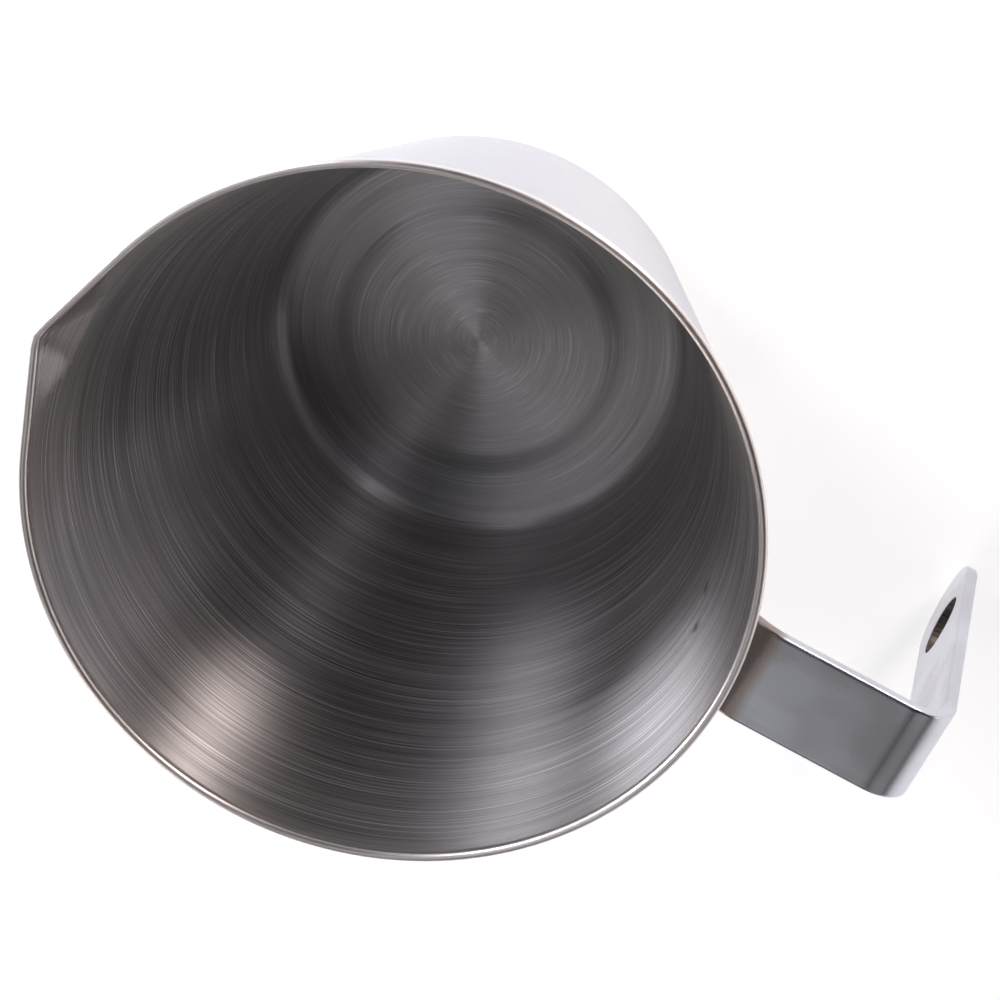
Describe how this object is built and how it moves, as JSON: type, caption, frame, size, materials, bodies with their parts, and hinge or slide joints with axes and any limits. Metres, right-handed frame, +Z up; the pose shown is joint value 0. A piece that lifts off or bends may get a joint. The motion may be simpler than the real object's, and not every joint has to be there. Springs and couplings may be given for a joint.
{
  "type": "candle melting pot",
  "caption": "Conical spun steel melting cup with a pinched pouring spout and a bent strap handle that hooks over the rim of a water bath.",
  "frame": {"origin": "centre of the ring that the cup stands on, on the ground", "axes": "+Z up along the cup's axis, +X towards the handle, -X towards the pouring spout, +Y across"},
  "size_m": [0.1457, 0.11, 0.077],
  "materials": {
    "spun_steel": "spun and brushed in rings, satin",
    "strap_steel": "bright rolled, lightly polished",
    "weld_steel": "fused, dull"
  },
  "bodies": {
    "root": {"pot_body": "spun_steel", "handle_strap": "strap_steel", "upper_spot_weld": "weld_steel", "lower_spot_weld": "weld_steel"}
  },
  "joints": []
}
